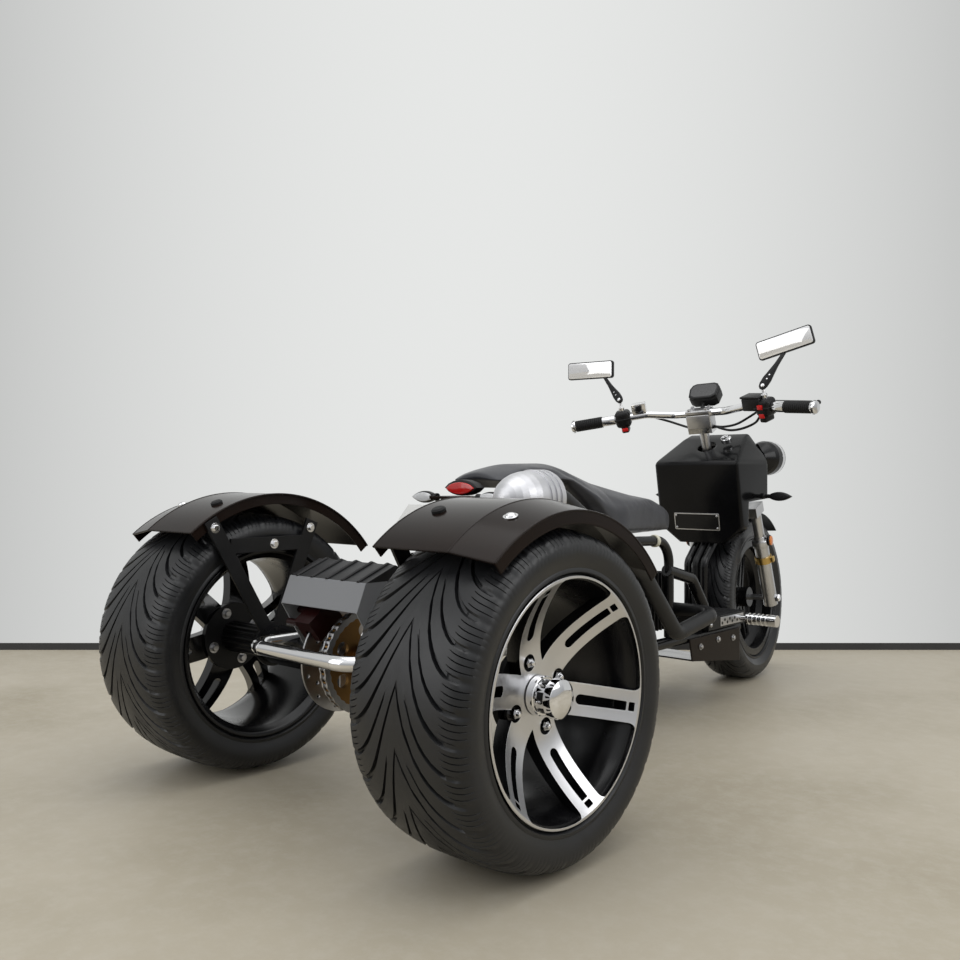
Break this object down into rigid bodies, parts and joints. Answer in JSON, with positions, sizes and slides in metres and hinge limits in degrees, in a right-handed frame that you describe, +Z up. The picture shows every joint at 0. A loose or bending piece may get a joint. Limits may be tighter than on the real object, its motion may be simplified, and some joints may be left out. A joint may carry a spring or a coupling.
{
  "type": "motor trike",
  "caption": "Small motor trike with wide rear tyres on a chain-driven live axle, a raked front fork, a low stepped seat and a dark front cover.",
  "frame": {"origin": "on the ground, at the middle of the bounding box's bottom face", "axes": "+Y points to the rear along the trike's length, +X to the rider's left, +Z up"},
  "size_m": [1.036, 2.0684, 1.0258],
  "materials": {
    "black_paint": "gloss",
    "brown_paint": "gloss",
    "tyre": "matte",
    "rim": "satin",
    "steel": "satin",
    "chrome": "polished",
    "alloy": "satin",
    "black_plastic": "matte",
    "gloss_plastic": "gloss",
    "vinyl": "satin",
    "rubber": "matte",
    "red_lens": "gloss",
    "clear_lens": "gloss",
    "red_paint": "gloss",
    "bronze": "satin",
    "cast_black": "satin",
    "grey_panel": "satin"
  },
  "bodies": {
    "chassis": {"frame": "black_paint", "rear_arms": "black_paint", "seat_rails": "black_paint", "cross_tube": "black_paint", "engine": "cast_black", "muffler": "steel", "rear_shield": "grey_panel", "fender_left": "brown_paint", "fender_right": "brown_paint", "fender_stay_left": "black_paint", "fender_stay_right": "black_paint", "seat": "vinyl", "tail_tray": "brown_paint", "tail_lamp": "red_lens", "rear_turn_left": "clear_lens", "rear_turn_right": "clear_lens", "plate_holder": "grey_panel", "front_cover": "gloss_plastic", "footboard_left": "alloy", "footboard_right": "alloy", "peg_left": "chrome", "peg_right": "chrome", "belly_plate": "brown_paint", "conduits": "rubber", "headlights": "black_plastic", "front_turn_left": "black_plastic", "front_turn_right": "black_plastic", "chain": "steel", "caliper": "red_paint"},
    "rear_axle": {"axle_shaft": "steel", "sprocket": "bronze", "brake_disc": "steel", "hub_left": "black_paint", "hub_right": "black_paint", "rear_rim_left": "rim", "rear_rim_right": "rim", "rear_tyre_left": "tyre", "rear_tyre_right": "tyre", "hub_cap_left": "chrome", "hub_cap_right": "chrome"},
    "steering": {"fork": "alloy", "handlebar": "chrome", "grips": "rubber", "controls": "black_plastic", "mirror_left": "black_plastic", "mirror_right": "black_plastic", "gauge": "black_plastic", "front_mudguard": "gloss_plastic"},
    "front_wheel": {"front_tyre": "tyre", "front_rim": "rim"}
  },
  "joints": [
    {"name": "rear_axle_spin", "type": "hinge", "parent": "chassis", "child": "rear_axle", "pos_m": [0, 0.764, 0.27], "axis": [1, 0, 0], "continuous": true},
    {"name": "steer", "type": "hinge", "parent": "chassis", "child": "steering", "pos_m": [0, -0.75611, 0.23303], "axis": [0, 0.342, 0.9397], "range_deg": [-42, 28]},
    {"name": "front_wheel_spin", "type": "hinge", "parent": "steering", "child": "front_wheel", "pos_m": [0.00426, -0.78875, 0.24491], "axis": [0.9925, 0.1145, -0.0417], "continuous": true}
  ]
}
